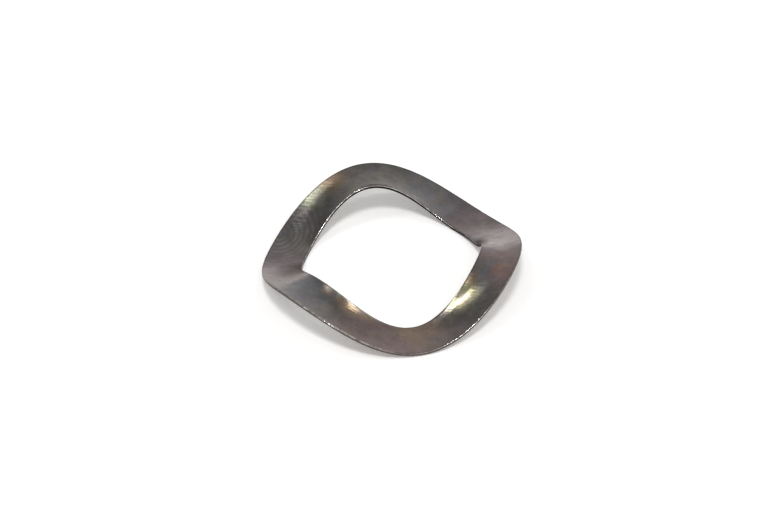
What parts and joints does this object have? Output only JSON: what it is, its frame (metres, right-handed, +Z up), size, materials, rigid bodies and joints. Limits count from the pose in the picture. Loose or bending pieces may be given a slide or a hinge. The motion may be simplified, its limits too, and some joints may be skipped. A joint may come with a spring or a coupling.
{
  "type": "wave spring washer",
  "caption": "Thin spring-steel ring pressed into even waves. It goes over a shaft, bears on its crests and troughs, and gives between them to take up play.",
  "frame": {"origin": "on the axis of the bore, level with the undersides of the troughs that the washer stands on", "axes": "+Z up along the axis of the bore, +Y through the middle of one crest"},
  "size_m": [0.025, 0.025, 0.0041],
  "materials": {
    "spring_steel": "hardened and tempered spring strip, dark satin grey with faint straw, mauve and blue temper tints and brighter worn edges"
  },
  "bodies": {
    "root": {"wave_washer": "spring_steel"}
  },
  "joints": []
}
